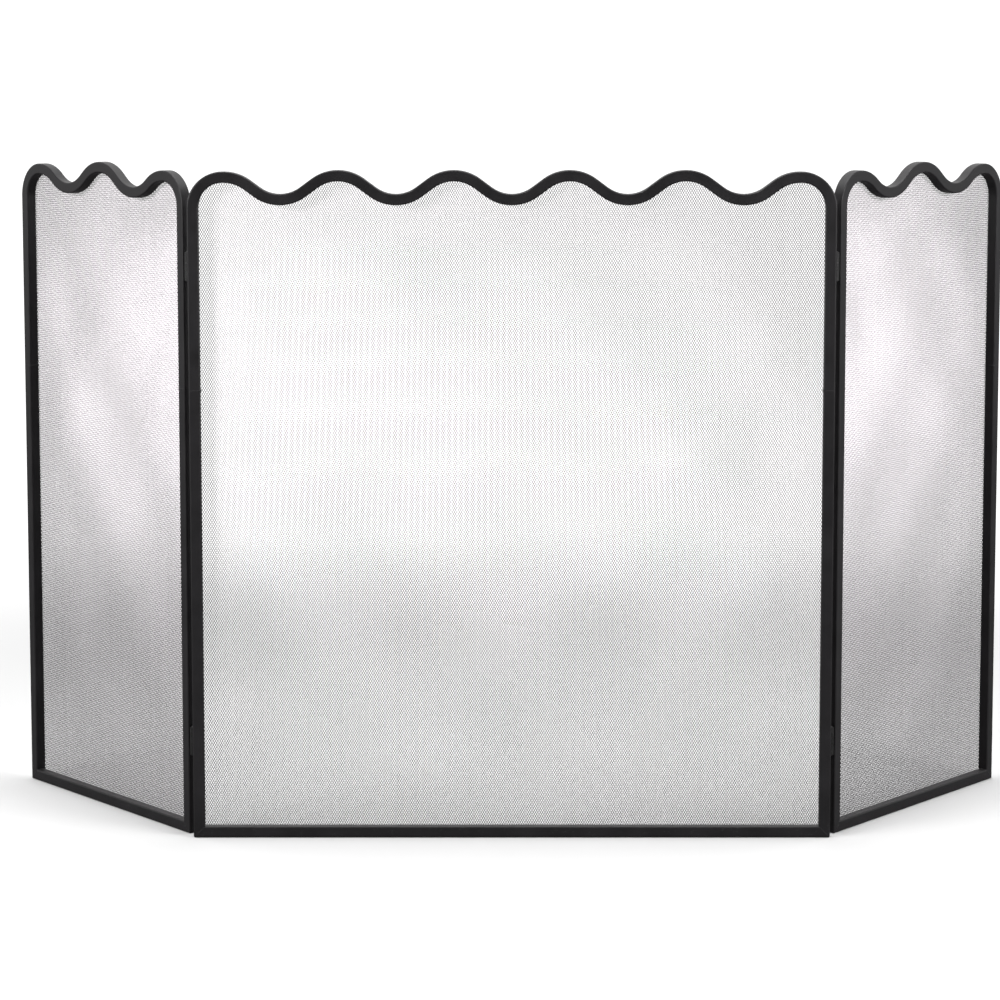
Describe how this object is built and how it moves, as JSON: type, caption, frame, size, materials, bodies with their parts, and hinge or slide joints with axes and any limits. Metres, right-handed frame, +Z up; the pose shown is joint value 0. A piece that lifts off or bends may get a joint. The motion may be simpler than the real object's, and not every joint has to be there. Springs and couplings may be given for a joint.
{
  "type": "fireplace screen",
  "caption": "Free-standing folding fireplace screen: wide centre panel and two hinged wings, square tube frames with wavy tops, expanded metal infill.",
  "frame": {"origin": "on the floor, at the middle of the whole screen's box as it stands with its wings folded back", "axes": "+X to the viewer's right across the centre panel, +Y back towards the fire, +Z up"},
  "size_m": [1.1986, 0.2946, 0.7737],
  "materials": {
    "frame_coat": "satin black powder coat",
    "mesh_coat": "satin black coat on expanded steel",
    "hinge_coat": "satin black powder coat",
    "fastener_coat": "black finish, slightly worn on its heads"
  },
  "bodies": {
    "centre": {"centre_arch": "frame_coat", "centre_left_stile": "frame_coat", "centre_right_stile": "frame_coat", "centre_rail": "frame_coat", "centre_mesh": "mesh_coat", "left_top_hinge_fixed_leaf": "hinge_coat", "left_bottom_hinge_fixed_leaf": "hinge_coat", "right_top_hinge_fixed_leaf": "hinge_coat", "right_bottom_hinge_fixed_leaf": "hinge_coat", "centre_hinge_rivets": "fastener_coat"},
    "left_wing": {"left_arch": "frame_coat", "left_outer_stile": "frame_coat", "left_inner_stile": "frame_coat", "left_rail": "frame_coat", "left_mesh": "mesh_coat", "left_top_hinge_wing_leaf": "hinge_coat", "left_bottom_hinge_wing_leaf": "hinge_coat", "left_top_hinge_pin": "fastener_coat", "left_bottom_hinge_pin": "fastener_coat", "left_hinge_rivets": "fastener_coat"},
    "right_wing": {"right_arch": "frame_coat", "right_outer_stile": "frame_coat", "right_inner_stile": "frame_coat", "right_rail": "frame_coat", "right_mesh": "mesh_coat", "right_top_hinge_wing_leaf": "hinge_coat", "right_bottom_hinge_wing_leaf": "hinge_coat", "right_top_hinge_pin": "fastener_coat", "right_bottom_hinge_pin": "fastener_coat", "right_hinge_rivets": "fastener_coat"}
  },
  "joints": [
    {"name": "left_wing_fold", "type": "hinge", "parent": "centre", "child": "left_wing", "pos_m": [-0.36896, -0.12963, 0.385], "axis": [0, 0, -1], "range_deg": [-50, 55]},
    {"name": "right_wing_fold", "type": "hinge", "parent": "centre", "child": "right_wing", "pos_m": [0.36896, -0.12963, 0.385], "axis": [0, 0, 1], "range_deg": [-50, 55]}
  ]
}
